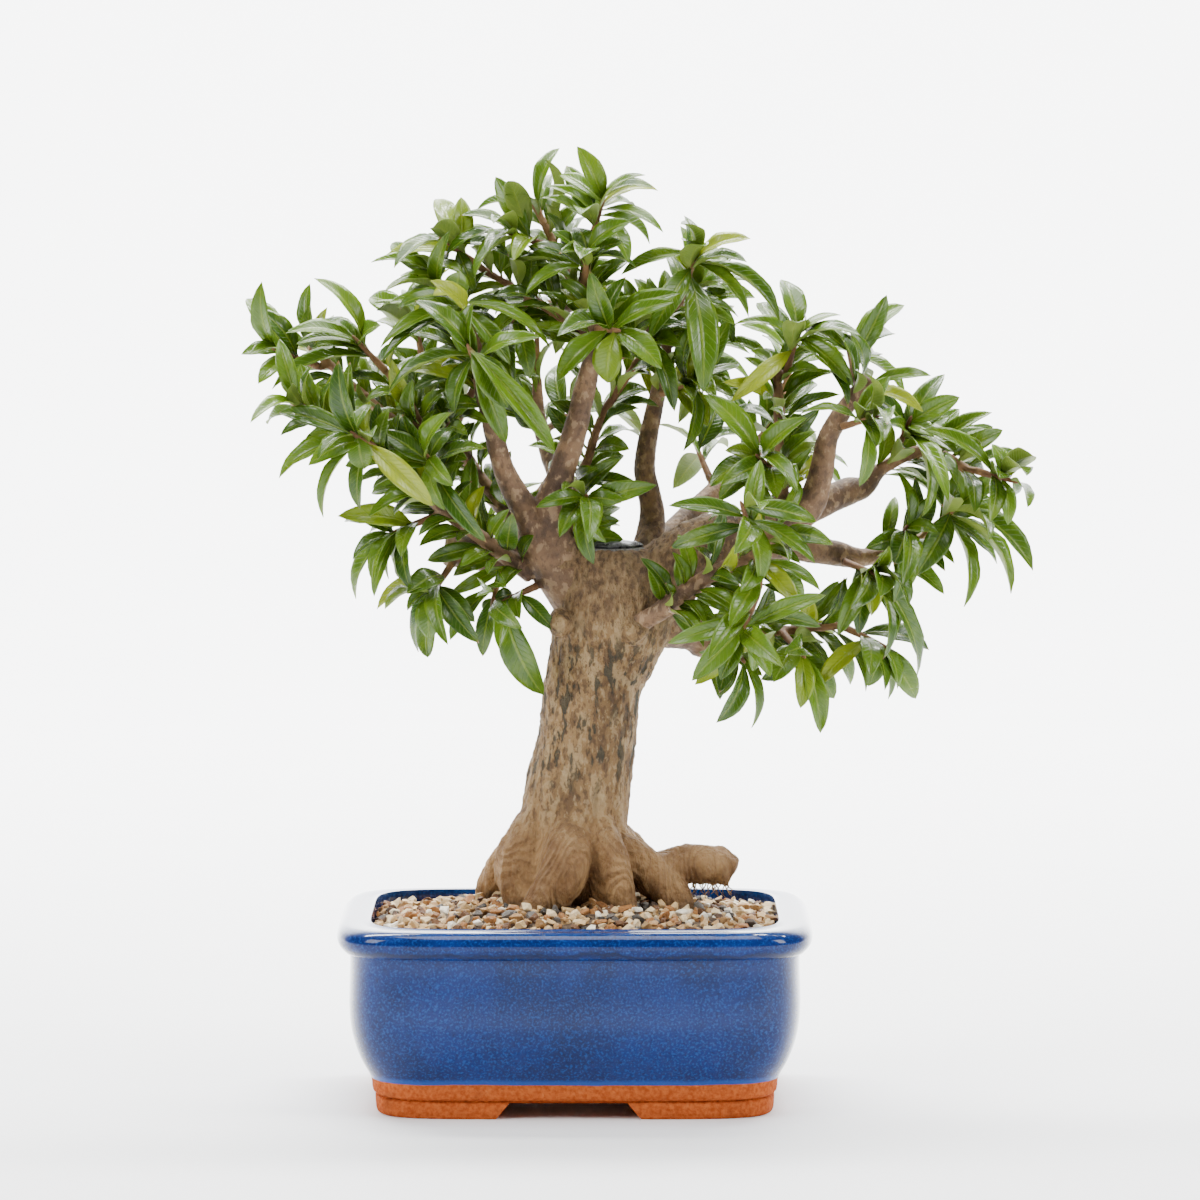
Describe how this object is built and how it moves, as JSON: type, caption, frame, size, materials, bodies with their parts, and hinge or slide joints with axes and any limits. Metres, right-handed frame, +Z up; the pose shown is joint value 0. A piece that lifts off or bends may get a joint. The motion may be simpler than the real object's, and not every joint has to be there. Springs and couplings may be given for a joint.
{
  "type": "pomegranate bonsai",
  "caption": "Pomegranate bonsai: thick old trunk with surface roots, pruned limbs and leafy shoots, in a rounded rectangular glazed pot with feet.",
  "frame": {"origin": "on the ground under the middle of the whole part's bounding box", "axes": "+Z up, +X to the right of the front, +Y away from the front"},
  "size_m": [0.398, 0.228, 0.477],
  "materials": {
    "glazed_pot": "speckled deep blue glaze over brown earthenware, bare at the foot",
    "grit": "loose matt grit",
    "bark": "living wood with flaky bark",
    "leaf": "glossy green leaves, paler beneath",
    "wound_seal": "smooth dark sealing paste",
    "screen": "black plastic mesh"
  },
  "bodies": {
    "root": {"drain_screen_left": "screen", "drain_screen_right": "screen", "pot": "glazed_pot", "shoot_back_left_mid": "leaf", "shoot_back_left_top": "leaf", "shoot_back_low": "leaf", "shoot_back_mid": "leaf", "shoot_back_right_in": "leaf", "shoot_back_right_mid": "leaf", "shoot_back_right_top": "leaf", "shoot_back_top": "leaf", "shoot_centre": "leaf", "shoot_centre_low": "leaf", "shoot_crown": "leaf", "shoot_far_left": "leaf", "shoot_front_high": "leaf", "shoot_front_low": "leaf", "shoot_inner_right": "leaf", "shoot_inner_top": "leaf", "shoot_left_back_mid": "leaf", "shoot_left_back_top": "leaf", "shoot_left_droop": "leaf", "shoot_left_end": "leaf", "shoot_left_hang": "leaf", "shoot_left_low": "leaf", "shoot_left_mid": "leaf", "shoot_left_top": "leaf", "shoot_left_tuft": "leaf", "shoot_left_under": "leaf", "shoot_middle": "leaf", "shoot_middle_right": "leaf", "shoot_right_crown": "leaf", "shoot_right_drop": "leaf", "shoot_right_elbow": "leaf", "shoot_right_face": "leaf", "shoot_right_far": "leaf", "shoot_right_inner": "leaf", "shoot_right_over": "leaf", "shoot_right_stub": "leaf", "shoot_right_sweep": "leaf", "shoot_right_top": "leaf", "shoot_right_top_back": "leaf", "shoot_side_mid": "leaf", "shoot_side_tip": "leaf", "shoot_spike": "leaf", "shoot_top": "leaf", "shoot_trunk_hang": "leaf", "shoot_under_mid": "leaf", "shoot_under_near": "leaf", "shoot_under_tip": "leaf", "shoot_up_left": "leaf", "soil": "grit", "tree": "bark", "wound_seal": "wound_seal"}
  },
  "joints": []
}
